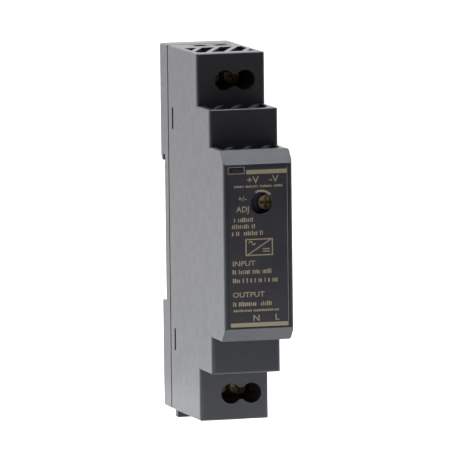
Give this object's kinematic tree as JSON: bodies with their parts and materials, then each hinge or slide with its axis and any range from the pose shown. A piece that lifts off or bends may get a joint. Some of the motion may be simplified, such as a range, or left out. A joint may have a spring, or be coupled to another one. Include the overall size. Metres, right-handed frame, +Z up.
{
  "type": "din rail power supply",
  "caption": "Slim stepped power supply module that clips on a 35 mm rail, with a sprung latch, screw clamp terminals at top and bottom and an output trimmer.",
  "frame": {"origin": "on the plane that rests on the front of the rail's flanges, at the rail's mid-height and the case's mid-width", "axes": "+Z up along the case, +X to the right seen from the front, +Y into the rail, so the front faces -Y"},
  "size_m": [0.0176, 0.056, 0.093],
  "materials": {
    "case_plastic": "fine moulded texture",
    "latch_plastic": "fine moulded texture",
    "spring_steel": "drawn wire",
    "label_film": "printed film",
    "red_lens": "clear moulded lens",
    "indicator_glass": "clear",
    "board_laminate": "green lacquer",
    "insulating_film": "clear film",
    "terminal_plastic": "matt",
    "tinned_brass": "tinned",
    "plated_screw": "yellow passivated",
    "plated_steel": "nickel plated",
    "rotor_plastic": "tan",
    "trimmer_blue": "moulded",
    "ferrite": "sintered",
    "ferrite_green": "lacquered",
    "black_resin": "moulded epoxy",
    "yellow_tape": "polyester tape",
    "capacitor_sleeve": "shrink sleeve",
    "capacitor_sleeve_green": "shrink sleeve",
    "fuse_ceramic": "white ceramic",
    "blue_epoxy": "dipped epoxy",
    "film_box": "moulded box",
    "copper_wire": "enamelled copper",
    "white_resin": "moulded epoxy",
    "chip_ceramic": "fired",
    "tinned_wire": "tinned"
  },
  "bodies": {
    "case": {"front_housing": "case_plastic", "rear_base": "case_plastic", "latch_spring": "spring_steel", "front_label": "label_film", "led_window": "red_lens", "indicator_led": "indicator_glass", "circuit_board": "board_laminate", "insulation_sheet": "insulating_film", "output_terminal_block": "terminal_plastic", "input_terminal_block": "terminal_plastic", "output_contacts": "tinned_brass", "input_contacts": "tinned_brass", "trimmer_body": "trimmer_blue", "transformer_core": "ferrite", "transformer_bobbin": "black_resin", "transformer_winding": "yellow_tape", "bulk_capacitor_lower": "capacitor_sleeve", "bulk_capacitor_front": "capacitor_sleeve", "output_capacitor_front": "capacitor_sleeve_green", "output_capacitor_rear": "capacitor_sleeve_green", "fuse_tube": "fuse_ceramic", "fuse_caps": "tinned_brass", "varistor": "blue_epoxy", "filter_capacitor": "film_box", "choke_core": "ferrite_green", "choke_windings": "copper_wire", "bridge_rectifier": "black_resin", "switching_controller": "black_resin", "safety_capacitor": "blue_epoxy", "optocoupler": "white_resin", "output_rectifier": "black_resin", "inductor_core": "ferrite", "inductor_winding": "copper_wire", "voltage_reference": "black_resin", "chip_parts": "chip_ceramic", "component_leads": "tinned_wire"},
    "rail_latch": {"rail_latch": "latch_plastic"},
    "screw_plus": {"screw_plus": "plated_screw"},
    "screw_minus": {"screw_minus": "plated_screw"},
    "screw_neutral": {"screw_neutral": "plated_screw"},
    "screw_line": {"screw_line": "plated_screw"},
    "cage_plus": {"cage_plus": "plated_steel"},
    "cage_minus": {"cage_minus": "plated_steel"},
    "cage_neutral": {"cage_neutral": "plated_steel"},
    "cage_line": {"cage_line": "plated_steel"},
    "trimmer_rotor": {"trimmer_rotor": "rotor_plastic"}
  },
  "joints": [
    {"name": "latch_slide", "type": "slide", "parent": "case", "child": "rail_latch", "axis": [0, 0, -1], "range_m": [0, 0.004], "stiffness_N_per_m": 400, "springref_m": -0.003, "deforming": ["latch_spring"]},
    {"name": "screw_plus_turn", "type": "hinge", "parent": "case", "child": "screw_plus", "pos_m": [-0.00155, -0.0162, 0.0385], "axis": [0, 1, 0], "range_deg": [0, 1440]},
    {"name": "screw_minus_turn", "type": "hinge", "parent": "case", "child": "screw_minus", "pos_m": [0.00365, -0.0162, 0.0385], "axis": [0, 1, 0], "range_deg": [0, 1440]},
    {"name": "screw_neutral_turn", "type": "hinge", "parent": "case", "child": "screw_neutral", "pos_m": [-0.00085, -0.0162, -0.0388], "axis": [0, 1, 0], "range_deg": [0, 1440]},
    {"name": "screw_line_turn", "type": "hinge", "parent": "case", "child": "screw_line", "pos_m": [0.00435, -0.0162, -0.0388], "axis": [0, 1, 0], "range_deg": [0, 1440]},
    {"name": "cage_plus_rise", "type": "slide", "parent": "case", "child": "cage_plus", "axis": [0, -1, 0], "range_m": [0, 0.002]},
    {"name": "cage_minus_rise", "type": "slide", "parent": "case", "child": "cage_minus", "axis": [0, -1, 0], "range_m": [0, 0.002]},
    {"name": "cage_neutral_rise", "type": "slide", "parent": "case", "child": "cage_neutral", "axis": [0, -1, 0], "range_m": [0, 0.002]},
    {"name": "cage_line_rise", "type": "slide", "parent": "case", "child": "cage_line", "axis": [0, -1, 0], "range_m": [0, 0.002]},
    {"name": "trimmer_turn", "type": "hinge", "parent": "case", "child": "trimmer_rotor", "pos_m": [0.00255, -0.0475, 0.01047], "axis": [0, 1, 0], "range_deg": [-130, 130]}
  ],
  "couplings": [
    {"joint": "screw_plus_turn", "follows": "cage_plus_rise", "rad_per_m": 12566},
    {"joint": "screw_minus_turn", "follows": "cage_minus_rise", "rad_per_m": 12566},
    {"joint": "screw_neutral_turn", "follows": "cage_neutral_rise", "rad_per_m": 12566},
    {"joint": "screw_line_turn", "follows": "cage_line_rise", "rad_per_m": 12566}
  ]
}
